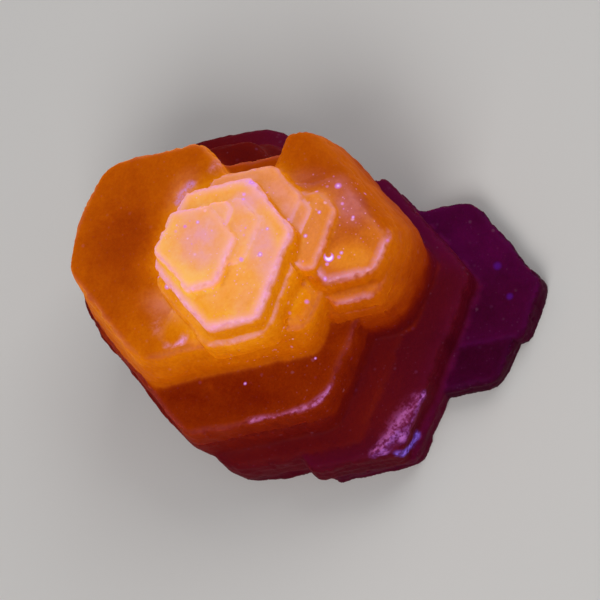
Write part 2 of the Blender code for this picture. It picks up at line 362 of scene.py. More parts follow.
def wandered(points, setup):
    # How far each place of the crystal lies off the straight outlines of its plates
    shift = np.empty_like(points)
    for axis, share in enumerate(setup["wanderShares"]):
        coarse = softNoise(points, setup["wanderSize"], 71 + axis)
        fine = softNoise(points, setup["wanderSize"] * setup["wanderFine"], 81 + axis)
        shift[:, axis] = (coarse + setup["wanderFine"] * fine) * setup["wander"] * share
    return shift


def straightened(points, setup):
    # The places of the points before they wandered
    before = points - wandered(points, setup)
    return points - wandered(before, setup)


def sideReaches(points):
    # How far each point lies from the growth axis, towards each of the six sides
    bearings = np.arange(6) * math.tau / 6
    outward = np.stack((np.cos(bearings), np.sin(bearings)), axis=1)
    return (points[:, :2] - np.array(axisPlace)) @ outward.T


def plateDistances(points):
    # For each plate: how far inside its sides and below its top each point is, the distance from
    # the plate, and which of its sides is the nearest
    reaches = sideReaches(points)
    insets, depths, gaps, nearest = [], [], [], []
    for top, thickness, sides, spread, *looks in plates.values():
        depth = top - points[:, 2]
        allowed = np.array(sides) + np.outer(np.clip(depth, 0, thickness), np.ones(6) * np.array(spread))
        inset = (allowed - reaches).min(axis=1)
        insets.append(inset)
        nearest.append((allowed - reaches).argmin(axis=1))
        depths.append(depth)
        gaps.append(np.maximum.reduce((-inset, -depth, depth - thickness)))
    return np.array(insets), np.array(depths), np.array(gaps), np.array(nearest)


def plateMap(points):
    # Which plate each point lies on, its distance from that plate's rim along the surface, how far
    # below its top it is, and which of its sides is the nearest
    insets, depths, gaps, nearest = plateDistances(points)
    owner = gaps.argmin(axis=0)
    every = np.arange(len(points))
    depth = depths[owner, every]
    return owner, np.maximum(insets[owner, every], depth), depth, nearest[owner, every]


def meshArrays(mesh):
    # The points in mm, their normals, and the pairs of points that the edges join
    points = np.empty(len(mesh.vertices) * 3, np.float32)
    mesh.vertices.foreach_get("co", points)
    normals = np.empty(len(mesh.vertices) * 3, np.float32)
    mesh.vertex_normals.foreach_get("vector", normals)
    edges = np.empty(len(mesh.edges) * 2, np.int32)
    mesh.edges.foreach_get("vertices", edges)
    points = points.reshape(-1, 3).astype(float) / mm
    return points, normals.reshape(-1, 3).astype(float), edges.reshape(-1, 2)


def spreadOut(values, edges, rounds, share=0.6):
    # Each value moves towards the mean of its neighbours, the given number of times
    count = len(values)
    first = np.concatenate((edges[:, 0], edges[:, 1]))
    second = np.concatenate((edges[:, 1], edges[:, 0]))
    neighbours = np.bincount(first, minlength=count)[:, None]
    columns = values.reshape(count, -1).astype(float)
    for turn in range(rounds):
        sums = [np.bincount(first, weights=column[second], minlength=count) for column in columns.T]
        columns = columns * (1 - share) + np.stack(sums, axis=1) / neighbours * share
    return columns.reshape(values.shape)


def withModifier(piece, kind, **settings):
    # The piece gets its mesh as it is after one modifier
    modifier = piece.modifiers.new(kind.lower(), kind)
    for name, value in settings.items():
        setattr(modifier, name, value)
    evaluated = piece.evaluated_get(bpy.context.evaluated_depsgraph_get())
    result = bpy.data.meshes.new_from_object(evaluated)
    piece.modifiers.remove(modifier)
    piece.data = result


def triangleCount(mesh):
    return sum(len(face.vertices) - 2 for face in mesh.polygons)


def keepInside(mesh, points, setup):
    # The points, in mm, go into the mesh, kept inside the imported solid's box and flat where it rests
    points = np.clip(points, np.array(cadLow) / mm, np.array(cadHigh) / mm)
    points[points[:, 2] < setup["footBand"], 2] = 0.0
    mesh.vertices.foreach_set("co", (points * mm).ravel())
    mesh.update()


def meltMask(points, setup):
    share = np.zeros(len(points))
    for place, reach, strength in meltedPlaces:
        away = np.linalg.norm(points - np.array(place), axis=1) / reach
        share = np.maximum(share, strength * (1 - softStep(away, setup["meltCore"], 1.0)))
    return share


def sideLayers(points, normals, owner, setup):
    # Thin layers in the sides: each layer of each plate and side stands out by its own amount
    facing = np.rint(np.arctan2(normals[:, 1], normals[:, 0]) / (math.tau / 6)).astype(np.int64) % 6
    wavy = points[:, 2] + noiseOf(points, (setup["layerWave"],), 11)
    layer = np.floor(wavy / setup["layer"]).astype(np.int64)
    layerKey = np.stack((layer, owner.astype(np.int64), facing), axis=1)
    return (randomAt(layerKey, 21) - setup["layerInward"]) * setup["layerDepth"]


def sideNicks(points, depth, setup):
    # Upright nicks along the rims, deepest at the rim
    upright = points * np.array((1.0, 1.0, setup["nickHeight"]))
    nicks = noiseOf(upright, ((setup["nickSize"], 1.0), (setup["nickSize"] / 2, 0.5)), 31)
    near = np.exp(-np.maximum(depth, 0) / setup["nickFade"])
    fading = setup["nickRest"] + (1 - setup["nickRest"]) * near
    return softStep(nicks, 0.05, 0.6) * fading * setup["nickDepth"]


def topSteps(points, rimDistance, setup):
    # Low growth steps on the top faces, along their rims
    drifting = rimDistance + noiseOf(points, setup["stepDrift"], 41)
    steps = (softStep(drifting, place, place + setup["stepWidth"]) for place in setup["stepPlaces"])
    return sum(steps) * setup["faceStep"]


def rimChips(points, rimDistance, setup):
    # Chips that wear the rims off, on both sides of them
    coarse, fine = (softNoise(points, size, 61 + turn) for turn, size in enumerate(setup["wornSizes"]))
    chips = softStep(coarse, 0.0, 0.5) + softStep(fine, -0.1, 0.4)
    return chips * softStep(rimDistance, setup["wornReach"], 0.0) * setup["wornDepth"]


def relief(points, normals, setup):
    # How far each point of the skin moves out along its normal, in mm
    owner, rimDistance, depth, side = plateMap(points)
    onSide = 1 - softStep(np.abs(normals[:, 2]), *setup["sideSlopes"])
    onTop = softStep(normals[:, 2], *setup["topSlopes"])
    healed = meltMask(points, setup)
    cut = sideLayers(points, normals, owner, setup) - sideNicks(points, depth, setup)
    uneven = noiseOf(points, (setup["sideWave"],), 33)
    uneven += noiseOf(points, (setup["healedWave"],), 34) * healed
    move = onSide * (cut * (1 - setup["healedShare"] * healed) + uneven)
    move -= onTop * topSteps(points, rimDistance, setup)
    grain = noiseOf(points, setup["grain"], 51) * setup["grainHeight"]
    return move + grain - rimChips(points, rimDistance, setup)


def makeSkin(setup):
    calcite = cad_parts["calcite"]
    skin = bpy.data.objects.new("calciteSkin", calcite.data.copy())
    bpy.context.scene.collection.objects.link(skin)
    bpy.context.view_layer.update()
    withModifier(skin, "REMESH", mode="VOXEL", voxel_size=setup["voxel"] * mm)
    points, normals, edges = meshArrays(skin.data)
    print("skin remeshed,", len(points), "points")
    points = spreadOut(points, edges, setup["smoothing"])

    # Healed steps flow together, and what the flowing takes off the whole is given back
    melted = spreadOut(points, edges, setup["meltRounds"]) - points
    melted -= spreadOut(melted, edges, setup["meltRounds"])
    points += melted * meltMask(points, setup)[:, None]
    points += normals * relief(points, normals, setup)[:, None]
    points += wandered(points, setup)
    keepInside(skin.data, points, setup)
    triangles = triangleCount(skin.data)
    if triangles > setup["triangles"]:
        withModifier(skin, "DECIMATE", ratio=setup["triangles"] / triangles)
        keepInside(skin.data, meshArrays(skin.data)[0], setup)
    print("relief cut,", triangleCount(skin.data), "triangles")
    skin.data.shade_smooth()
    return skin


skin = makeSkin(skinSetup)


# Patches of painted light and shade, where the crystal glows brighter or darker than its plate, and
# patches of painted sheen, where its top faces reflect more of the lamp: the place of the middle, the
# direction it runs in, its half length and half width, its strength and the heights that it lies between.
paintedLightPatches = [
    ((-10.9, 10.3), (0.5, 0.85), 6.5, 4.4, -0.10, (16, 17.5)),
    ((-14.1, 0.6), (0.6, -0.8), 3.5, 1.6, 0.03, (16, 17.8)),
    ((-11.2, -8.1), (0.6, -0.8), 3.6, 1.8, -0.035, (10, 11.8)),
    ((-16.2, -3.5), (0.6, -0.8), 2.4, 1.6, -0.03, (10, 11.8)),
    ((-13.5, -5.3), (0.13, -1.0), 1.1, 0.45, 0.06, (10, 11.8)),
    ((-0.5, -11.6), (0.3, -0.9), 3.0, 2.0, 0.03, (10, 11.8)),
    ((-1.3, -17.6), (0.94, 0.34), 4.2, 2.6, 0.07, (4.5, 6.5)),
    ((16.0, -8.6), (0.5, -0.8), 5.0, 3.0, 0.04, (1.5, 3.2)),
    ((12.1, -13.6), (0.5, -0.8), 3.0, 2.2, -0.03, (1.5, 3.2)),
    ((7.4, -14.8), (0.5, -0.8), 1.6, 1.0, -0.06, (1.5, 6.5)),
    ((-4.5, 14.5), (1.0, 0.0), 4.0, 3.0, -0.03, (16, 17.5)),
    ((-15.5, 8.0), (0.5, 0.85), 4.5, 3.0, -0.045, (16, 17.5)),
    ((-2.0, -15.7), (0.94, 0.34), 5.0, 2.6, 0.06, (4.5, 6.5)),
    ((5.4, -7.2), (0.8, -0.6), 3.0, 1.9, 0.12, (17.5, 18.6)),
    ((9.4, -3.2), (0.3, -0.9), 2.4, 1.8, -0.03, (17.2, 18.6)),
    ((8.4, -7.4), (0.4, -0.9), 2.0, 1.3, 0.05, (17.2, 18.6)),
    ((7.6, 1.4), (1.0, -0.5), 3.2, 1.8, -0.05, (17.2, 18.6)),
]
paintedSheenPatches = [
    ((-4.6, 1.7), (0.8, 0.6), 3.8, 3.2, 0.48, (23.7, 24.5)),
    ((-0.6, -2.4), (0.45, 0.9), 4.4, 1.7, 0.5, (22.2, 23.3)),
    ((0.8, 2.2), (1.0, 0.0), 2.6, 2.0, 0.48, (22.2, 24.0)),
    ((3.4, -0.6), (-0.35, -0.95), 3.8, 1.2, 0.32, (19.6, 20.6)),
    ((8.4, -3.0), (-0.25, -0.97), 2.6, 1.7, 0.24, (17.4, 18.6)),
    ((9.1, -0.3), (1.0, -0.3), 1.6, 1.2, 0.12, (17.2, 18.6)),
    ((6.4, 2.6), (1.0, -0.5), 2.8, 1.5, 0.07, (17.2, 18.6)),
    ((-1.6, 5.4), (0.9, 0.45), 2.4, 1.2, 0.2, (19.6, 20.6)),
    ((-11.2, 1.8), (0.5, -0.8), 3.0, 1.6, 0.14, (16, 17.8)),
    ((-5.2, -5.6), (0.85, 0.5), 2.6, 0.9, 0.20, (22.2, 23.3)),
    ((-3.0, 10.9), (1.0, 0.3), 2.6, 1.4, 0.06, (16, 17.8)),
]

# Frosted streaks, with painted glints of the lamp's light on the frost: the line that each follows, its half
# width, its strength and how blue it is
frostGlintStreaks = [
    (((2.2, -17.9, 5.2), (1.3, -18.5, 5.6), (0.2, -19.1, 5.7), (-0.8, -19.7, 5.7), (-2.1, -19.9, 5.7)),
     0.55, 1.0, 0.3),
    (((1.6, -17.6, 5.6), (0.4, -18.2, 5.7), (-0.6, -18.9, 5.7)), 0.5, 0.75, 0.1),
    (((-2.3, -19.2, 5.7), (-3.0, -19.2, 5.7), (-3.7, -19.6, 5.7), (-4.3, -19.8, 5.7), (-5.4, -19.4, 5.7)),
     0.4, 0.95, 0.35),
    (((0.7, -17.8, 5.7), (-1.1, -18.3, 5.7), (-3.0, -18.9, 5.7), (-5.2, -19.2, 5.7)), 0.42, 0.9, 0.1),
    (((-0.8, -19.7, 3.0), (-1.6, -20.1, 3.3), (-2.6, -20.7, 4.0), (-3.6, -20.9, 5.5)), 0.4, 0.9, 0.95),
    (((-12.5, -10.5, 11.3), (-10.8, -11.6, 11.3), (-9.0, -12.6, 11.3), (-7.1, -13.5, 11.3)), 0.28, 0.8, 0.0),
    (((-7.1, -13.5, 11.3), (-5.6, -13.6, 11.3), (-4.1, -13.3, 11.3)), 0.3, 0.9, 0.1),
    (((-2.0, 10.7, 17.0), (-3.3, 10.5, 17.0), (-4.1, 10.2, 17.0)), 0.36, 0.85, 0.35),
    (((-14.0, -1.2, 17.4), (-13.6, -2.0, 17.4), (-12.9, -2.2, 17.4), (-12.2, -2.1, 17.4)), 0.26, 0.9, 0.0),
    (((0.9, 3.1, 23.4), (0.9, 2.3, 23.4), (1.1, 1.4, 23.3), (1.5, 0.6, 23.2), (1.0, -0.3, 23.0)),
     0.35, 0.7, 0.1),
    (((2.4, 4.0, 22.7), (2.9, 3.6, 22.7), (2.9, 3.0, 22.7)), 0.45, 1.0, 0.1),
    (((11.3, -5.4, 18.0), (10.4, -7.2, 18.0), (9.6, -8.2, 18.0)), 0.45, 0.8, 0.15),
]
frostGlintPatches = [
    ((-1.4, -18.5), (0.94, 0.34), 3.2, 1.3, 0.45, (4.6, 6.5)),
    ((-13.4, 1.2), (0.4, 0.9), 1.4, 0.7, 0.15, (16, 18)),
    ((1.1, 10.6), (0.9, 0.4), 0.9, 0.5, 0.4, (16, 18)),
]

# Violet dust lies thickest round these places: place, reach, strength and lowest height
dustPlaces = [
    ((-2.5, 1.0, 20.0), 10.5, 1.0, 16),
    ((5.5, -2.5, 18.0), 7.0, 0.9, 15),
    ((-6.0, -7.0, 15.0), 5.5, 0.7, 11.5),
    ((-5.0, -11.0, 11.4), 7.0, 0.08, 8),
]
eastPlates = ("footEast", "bodyEast", "ledgeEast", "eastTop", "eastTerrace")
rimWidths = {"crown": 0.68, "second": 0.8, "eastTerrace": 0.6, "ledgeEast": 0.55, "thirdLow": 0.42}
otherRims = 0.5               # mm, as the widths above
fadedRims = [                 # rim highlights that show less: plates, their sides and the share that is left
    (eastPlates, (0, 1, 2), 0.12),
    (("crown",), (0,), 0.45),
    (("ledgeEast",), (0, 1, 2, 3, 5), 0.15),
    (("thirdLow",), (2, 3), 0.2),
]
glowSetup = {
    "rimGlow": 0.03,          # painted light that a top face gains towards its rim
    "rimViolet": 0.3,         # painted highlight: violet that the low plates gain there
    "rimReach": 0.9,          # mm, for both
    "sideFade": 0.02,         # painted shade: light lost on a side for each mm below its rim
    "sideDepth": 7.0,         # mm, no more is lost further down
    "stackGlow": 0.17,        # painted light: glow that the tall stack throws on the plates close to it
    "stackReach": 1.3,        # mm
    "stackLean": (0.0, 2.9, -6.0),  # mm that this glow lies behind and below the stack's top plates
    "bodyHeight": 15.0,       # mm, the body's top faces lie above this
    "footFade": 0.16,         # painted shade: light that the east stack loses towards its foot
    "footHeights": (9.2, 6.0),      # mm, where it starts to lose it and where all of it is lost
    "backPaintedLight": 0.33,       # painted shade: the most light that the low plates have at the back
    "backHeight": 12.0,       # mm
    "backFrom": (3.0, 9.0),   # mm along y
    "ringGlow": 0.07,         # warmth of the yellow ring in the left half of the crown
    "ringPlace": (1.1, 0.6),  # mm in from the rim, and its half width
    "ringFrom": (-4.0, -7.5), # mm along x, where the left half of the crown begins
    "lowHeight": 7.0,         # mm, the low plates lie below this
    "leastViolet": 0.06,      # only plates that are more violet than this gain it at their rims
    "farViolet": 0.3,         # painted shade: violet that the low plates gain towards their far end
    "farFrom": ((0.0, 8.0), (3.0, 9.0)),    # where that end begins and is whole, in x + y and in x
    "paintedSheenEdge": (0.0, 0.8),   # mm from the rim to the painted sheen in a top face, and from there to all of it
    "crownPaintedSheen": (0.9, 1.0),  # what the left half of the crown adds to the two
    "dustEverywhere": 0.03,
    "rimDust": (0.3, 0.5),    # dust along the rims, and its reach in mm
    "photoWay": (0.0, 0.42, -0.91),  # the way that the photo looks
    "fadeRounds": 70,         # how softly one plate's look runs into the next, behind and on healed steps
    "edgeRounds": 7,          # how wide the edges and the creases are taken
    "creaseDepths": (0.02, 0.16),    # mm
    "edgeHeights": (0.02, 0.12),
}


def patchMask(points, patches):
    # Patches add up where their strengths have different signs, and otherwise the strongest holds
    highest = np.zeros(len(points))
    lowest = np.zeros(len(points))
    for place, direction, length, width, strength, (bottom, top) in patches:
        along = np.array(direction) / np.linalg.norm(direction)
        away = points[:, :2] - np.array(place)
        lengthwise = (away @ along) / length
        sideways = (away @ np.array((-along[1], along[0]))) / width
        inside = (points[:, 2] > bottom) & (points[:, 2] < top)
        shape = strength * inside * (1 - softStep(np.hypot(lengthwise, sideways), 0.2, 1.3))
        highest = np.maximum(highest, shape)
        lowest = np.minimum(lowest, shape)
    return highest + lowest


def streakMask(points, streaks):
    # How strong the streaks are at each point, and how blue the strongest is
    total = np.zeros(len(points))
    blue = np.zeros(len(points))
    for line, width, strength, blueness in streaks:
        away = np.full(len(points), np.inf)
        for start, end in zip(line, line[1:]):
            start = np.array(start)
            run = np.array(end) - start
            share = np.clip((points - start) @ run / (run @ run), 0, 1)
            away = np.minimum(away, np.linalg.norm(points - start - share[:, None] * run, axis=1))
        shape = strength * (1 - softStep(away, width * 0.3, width * 1.5))
        blue = np.where(shape > total, blueness, blue)
        total = np.maximum(total, shape)
    return total, blue


class SkinPlaces:
    # Where each point of the skin lies on the plates, and the looks of its plate
    def __init__(self, mesh, setup):
        self.worn, self.normals, self.edges = meshArrays(mesh)
        self.points = straightened(self.worn, skinSetup)
        self.owner, self.rimDistance, self.depth, self.side = plateMap(self.points)
        looks = np.array([plates[name][4:] for name in plateNames])[self.owner].T
        self.topWarmth, self.sideWarmth, self.haze, self.rim, self.violet = looks
        self.east, self.north, self.height = self.points.T
        self.upward = softStep(self.spread(self.normals[:, 2], 3), 0.5, 0.9)
        self.back = (self.height < setup["backHeight"]) * softStep(self.north, *setup["backFrom"])
        self.crownLeft = softStep(self.east, *setup["ringFrom"])

    def spread(self, values, rounds):
        return spreadOut(values, self.edges, rounds)

    def on(self, *names):
        return np.isin(self.owner, plateRows(*names))


def plateRows(*names):
    return [plateNames.index(name) for name in names]


def paintedLightMask(places, setup):
    # Painted light: each plate's own lit glow, with the painted glow that the tall stack throws on the
    # plates round it
    # painted light: the top faces brighten towards their rims
    face = places.topWarmth + setup["rimGlow"] * np.exp(-places.rimDistance / setup["rimReach"])
    # painted shade: the sides darken below their rims, and the east stack towards its foot
    wall = places.sideWarmth - setup["sideFade"] * np.clip(places.depth, 0, setup["sideDepth"])
    foot = places.on(*eastPlates) * softStep(places.height, *setup["footHeights"])
    wall = wall - setup["footFade"] * foot
    warmth = wall + (face - wall) * places.upward

    # painted pool of light that the tall stack throws on the body's top faces
    topGap = plateDistances(places.points - np.array(setup["stackLean"]))[2][plateRows("crown", "second")]
    thirdGap = plateDistances(places.points)[2][plateRows("thirdLow", "thirdHigh")]
    stackGap = np.maximum(np.minimum(topGap.min(axis=0), thirdGap.min(axis=0)), 0)
    onBody = (places.height > setup["bodyHeight"]) & places.on("bodyWest", "westTerrace", "eastTop")
    warmth += setup["stackGlow"] * np.exp(-stackGap / setup["stackReach"]) * onBody * places.upward
    # painted shade at the back of the low plates
    warmth = np.minimum(warmth, setup["backPaintedLight"] + (1 - places.back))
    # painted patches of light and shade
    warmth += patchMask(places.points, paintedLightPatches)

    ringAt, ringWidth = setup["ringPlace"]
    ring = np.exp(-((places.rimDistance - ringAt) / ringWidth) ** 2)
    return warmth + setup["ringGlow"] * places.on("crown") * places.crownLeft * ring


def violetMask(places, setup):
    # Painted light and shade on the low plates: they turn more violet towards their rims, as a painted
    # highlight, and towards their far end, as painted shade
    low = places.height < setup["lowHeight"]
    rimward = np.exp(-places.rimDistance / setup["rimReach"]) * (places.violet > setup["leastViolet"])
    diagonal, along = setup["farFrom"]
    farther = softStep(places.east + places.north, *diagonal) * softStep(places.east, *along)
    violet = places.violet + low * places.upward * setup["rimViolet"] * rimward
    return violet + low * setup["farViolet"] * farther


def paintedSheenMask(places, setup):
    # Painted sheen: the mauve reflection in the frosted top faces keeps off their rims, and further off in
    # the left half of the crown
    start, width = (
        own + more * places.crownLeft for own, more in zip(setup["paintedSheenEdge"], setup["crownPaintedSheen"])
    )
    own = places.haze * softStep((places.rimDistance - start) / width, 0.0, 1.0)
    return np.maximum(own, patchMask(places.points, paintedSheenPatches)) * places.upward


def rimHighlightMask(places):
    rim = places.rim * (1 - places.back)
    for names, sides, left in fadedRims:
        rim = rim * np.where(places.on(*names) & np.isin(places.side, sides), left, 1.0)
    return rim


def dustMask(places, setup):
    rimDust, reach = setup["rimDust"]
    dust = setup["dustEverywhere"] + rimDust * places.rim * np.exp(-places.rimDistance / reach)
    for place, reach, strength, lowest in dustPlaces:
        away = np.linalg.norm(places.points - np.array(place), axis=1) / reach
        dust = np.maximum(dust, strength * (1 - softStep(away, 0.5, 1.0)) * (places.height > lowest))
    return dust


def makeMasks(piece, setup):
    places = SkinPlaces(piece.data, setup)
    warmth = paintedLightMask(places, setup)
    violet = violetMask(places, setup)

    # Behind, and where steps have healed, one plate's look runs softly into the next
    behind = softStep(places.normals @ np.array(setup["photoWay"]), -0.1, 0.2)
    faded = places.spread(np.maximum(behind, meltMask(places.points, skinSetup)), 6)
    warmth += (places.spread(warmth, setup["fadeRounds"]) - warmth) * faded
    violet += (places.spread(violet, setup["fadeRounds"]) - violet) * faded

    # How deep each point lies in a crease, and below 0 how high on an edge
    sunk = ((places.spread(places.worn, setup["edgeRounds"]) - places.worn) * places.normals).sum(axis=1)
    frost, frostBlue = streakMask(places.points, frostGlintStreaks)
    frost = np.maximum(frost, patchMask(places.points, frostGlintPatches))
    widths = np.array([rimWidths.get(name, otherRims) for name in plateNames])[places.owner]
    masks = {
        "warmth": places.spread(warmth, 3),
        "violet": places.spread(violet, 3),
        "haze": places.spread(paintedSheenMask(places, setup), 4),
        "rimStrength": places.spread(rimHighlightMask(places), 3),
        "rimDistance": places.spread(places.rimDistance / widths, 1),
        "crevice": softStep(sunk, *setup["creaseDepths"]),
        "edge": softStep(-sunk, *setup["edgeHeights"]),
        "frost": places.spread(frost, 1),
        "frostBlue": frostBlue,
        "dust": dustMask(places, setup),
    }
    for name, values in masks.items():
        layer = piece.data.attributes.new(name, "FLOAT", "POINT")
        layer.data.foreach_set("value", np.clip(values, 0, 50).astype(np.float32))
    print("masks written:", ", ".join(masks))


makeMasks(skin, glowSetup)


# The material
calciteLooks = {
    "paintedLightStops": [          # painted light, from the shaded dark wings to the lit crown, as screen colours
        (0.00, (42, 1, 8)), (0.08, (54, 2, 12)), (0.16, (64, 4, 12)), (0.24, (74, 7, 11)),
        (0.30, (81, 9, 10)), (0.38, (94, 14, 6)), (0.46, (114, 26, 1)), (0.54, (136, 43, 1)),
        (0.62, (158, 62, 1)), (0.70, (180, 82, 1)), (0.78, (205, 109, 3)), (0.86, (226, 136, 14)),
        (0.93, (242, 160, 44)), (1.00, (250, 186, 84)),
    ],
    "noises": [               # broad, cloudy, mottled and grainy: size in mm, detail and roughness
        (5.0, 2.0, 0.5), (1.6, 3.0, 0.5), (0.75, 3.0, 0.55), (0.3, 3.0, 0.6),
    ],
    "unevenPaintedLight": (0.07, 0.07, 0.04, 0.08),       # how much each of them moves the painted light
    # painted highlight on raised edges
    "edgePaintedHighlight": 0.02,
    "creasePaintedShade": 0.03,                          # painted shade: lost in the creases
    "violetTones": ((44, 0, 20), (80, 3, 58)),      # of the dark and of the warmer low plates
    "paintedSheenTones": ((105, 35, 75), (228, 150, 182)),  # painted sheen, on dark and on bright plates, as are the next
    "rimHighlightTones": ((112, 28, 112), (240, 172, 202)),
    "rimRagged": (0.7, 0.7, 0.6),                   # how much the finer noises shift the painted highlight on the frosted rims
    "rimFades": ((1.5, 0.3), (0.8, 0.35)),          # where its soft edge and its core begin and are whole
    "rimSoft": 0.55,                                # how much of the rim's tone the soft edge takes
    "rimCore": (0.25, 0.25),                        # what the core adds, and what a raised edge adds there
    "beadTone": (232, 156, 210),
    "beadShare": 0.7,
    "frostGlintTones": ((162, 62, 122), (238, 168, 222)),
    "frostBlue": (98, 78, 214),
    "frostGlintPale": (232, 160, 226),
    "frostGlintCore": 0.2,
    "frostGlintGaps": 0.2,                               # how much frost is left between its streaks
    "streakStretch": (0.4, 1.0, 1.0),               # draws the streaks out along x
    "streakNoise": (0.8, 2.0, 0.6),                 # size in mm, detail and roughness
    "dustTones": ((216, 122, 226), (250, 186, 214)),
    "dustSizes": [            # size of a cell in mm, share of them with a speck, its size and strength
        (1.3, 0.45, 0.2, 0.9), (0.7, 0.4, 0.2, 0.7), (0.4, 0.3, 0.25, 0.6),
    ],
    "glintTones": ((214, 132, 240), (255, 232, 250)),
    "farSpots": (74, 16, 118),
    "bodyShare": 0.45,        # how much of the colour is base colour; the painted glow of the emission has all of it
    "glowStrength": 0.72,
    "roughness": (0.45, 0.7),
    "shine": 0.02,
    "refraction": 1.6,
    "scatterShare": 0.8,
    "scatterReach": (1.0, 0.45, 0.2),               # of red, green and blue, as shares of the depth
    "scatterDepth": 2.4,      # mm
    "bumpHeight": 0.045,      # mm
}
glints = [                    # painted glints: sparks of the lamp's light on the frost, place and size, in mm
    ((6.6, 1.0, 19.4), 0.34), ((8.9, -0.4, 18.3), 0.44), ((7.3, -0.3, 19.4), 0.26),
    ((5.8, -1.9, 19.4), 0.24), ((8.0, -4.1, 18.3), 0.22), ((10.1, -4.5, 18.3), 0.26),
    ((4.9, -6.2, 18.3), 0.24), ((3.3, -2.9, 19.4), 0.26), ((9.9, -7.9, 18.3), 0.34),
    ((9.1, -8.2, 18.3), 0.34), ((2.1, -7.1, 17.9), 0.3), ((-10.1, 2.0, 20.3), 0.36),
    ((-10.2, 3.6, 20.2), 0.2), ((-3.8, 3.4, 24.0), 0.24), ((-1.2, -0.4, 22.7), 0.24),
    ((-2.9, -2.1, 22.7), 0.3), ((-1.2, -2.9, 22.7), 0.34), ((0.9, -1.3, 22.7), 0.22),
    ((1.0, 2.7, 23.1), 0.26), ((2.7, 3.7, 22.7), 0.4),
    ((-2.5, -5.6, 20.3), 0.42), ((-0.7, -7.4, 17.0), 0.34), ((-2.7, -7.2, 17.0), 0.34),
    ((-4.4, -7.5, 17.0), 0.28), ((-2.6, -5.5, 20.3), 0.32), ((-4.4, -7.7, 17.2), 0.32),
    ((-3.5, -10.6, 17.2), 0.3), ((-10.5, -7.1, 11.4), 0.22), ((-3.6, -9.9, 11.4), 0.18),
    ((-0.8, -11.7, 11.4), 0.16), ((-9.7, 5.2, 17.0), 0.16),
]
# the crescent is a painted reflection of the lamp
crescent = {"whole": ((3.7, -5.75, 18.3), 0.48), "hollow": ((3.84, -5.48, 18.4), 0.37)}
farSpots = [((16.3, -11.1, 2.7), 0.6), ((15.2, -14.5, 2.7), 0.5)]
spotStretch = (1.0, 1.0, 0.4)   # spots stand taller than wide, so that they lie well on steps and sides


def specks(tree, place, cell, chance, size):
    # Round specks: one in some of the cells, the given share of the cell wide, and their own tint
    settings = {"voronoi_dimensions": "3D", "feature": "F1"}
    spot = Wire.node(tree, "ShaderNodeTexVoronoi", settings, {"Vector": place, "Scale": 1.0 / cell})
    tint = Wire(tree, spot.socket.node.outputs["Color"])
    pick, own = (Wire.node(tree, "ShaderNodeSeparateColor", {}, {0: tint}, part) for part in (0, 1))
    return spot.between(size, size * 0.3) * pick.below(chance), own


def nearestOf(tree, place, spots):
    # The distance to the nearest of the spots, as a share of that spot's size
    nearest = None
    place = vectorMaths(tree, "MULTIPLY", {0: place, 1: spotStretch})
    for spot, size in spots:
        middle = tuple(value * share for value, share in zip(spot, spotStretch))
        away = vectorMaths(tree, "DISTANCE", {0: place, 1: middle}, "Value") / size
        nearest = away if nearest is None else away.lesser(nearest)
    return nearest


def shaken(value, noises, amounts):
    # The value, moved up and down by the noises
    for noise, amount in zip(noises, amounts):
        value = value + (noise - 0.5) * amount
    return value


class Surface:
    # What the layers of the crystal's look share: its place, the skin's masks and noises of four sizes
    def __init__(self, tree, looks):
        self.tree = tree
        self.looks = looks
        place = Wire.node(tree, "ShaderNodeTexCoord", output="Object")
        self.place = vectorMaths(tree, "SCALE", {0: place, "Scale": 1 / mm})
        self.broad, self.cloudy, self.mottled, self.grainy = (
            lumps(tree, self.place, *kind) for kind in looks["noises"]
        )
        self.patchy = (self.cloudy * 0.45 + self.mottled * 0.55).between(0.4, 0.6)
        self.bright = self.mask("warmth").between(0.35, 0.92)

    def mask(self, name):
        return readMask(self.tree, name)

    def tone(self, name):
        # The tone of that name, between the one for dark plates and the one for bright plates
        dark, pale = self.looks[name]
        return mixed(self.bright, linear(*dark), linear(*pale))


def glowOf(surface, looks):
    # Painted glow of the crystal: its fluorescent colour, darker and more violet where less of the lamp's
    # light falls
    noises = (surface.broad, surface.cloudy, surface.mottled, surface.grainy)
    warmth = shaken(surface.mask("warmth"), noises, looks["unevenPaintedLight"])
    # painted highlight on raised edges, painted shade in the creases
    warmth = warmth + surface.mask("edge") * looks["edgePaintedHighlight"]
    warmth = warmth - surface.mask("crevice") * looks["creasePaintedShade"]
    stops = [(at, linear(*colour)) for at, colour in looks["paintedLightStops"]]
    colour = Wire.node(surface.tree, "ShaderNodeValToRGB", {"stops": stops}, {0: warmth})
    violetTone = mixed(warmth.between(0.0, 0.3), *(linear(*tone) for tone in looks["violetTones"]))
    return mixed(surface.mask("violet"), colour, violetTone)


def withPaintedSheen(colour, surface):
    # Painted sheen: the lamp's mauve reflection from the frosted top faces, in soft patches
    patchySheen = (surface.cloudy * 0.75 + surface.mottled * 0.25).between(0.3, 0.7)
    return mixed(surface.mask("haze") * (0.6 + 0.9 * patchySheen), colour, surface.tone("paintedSheenTones"))


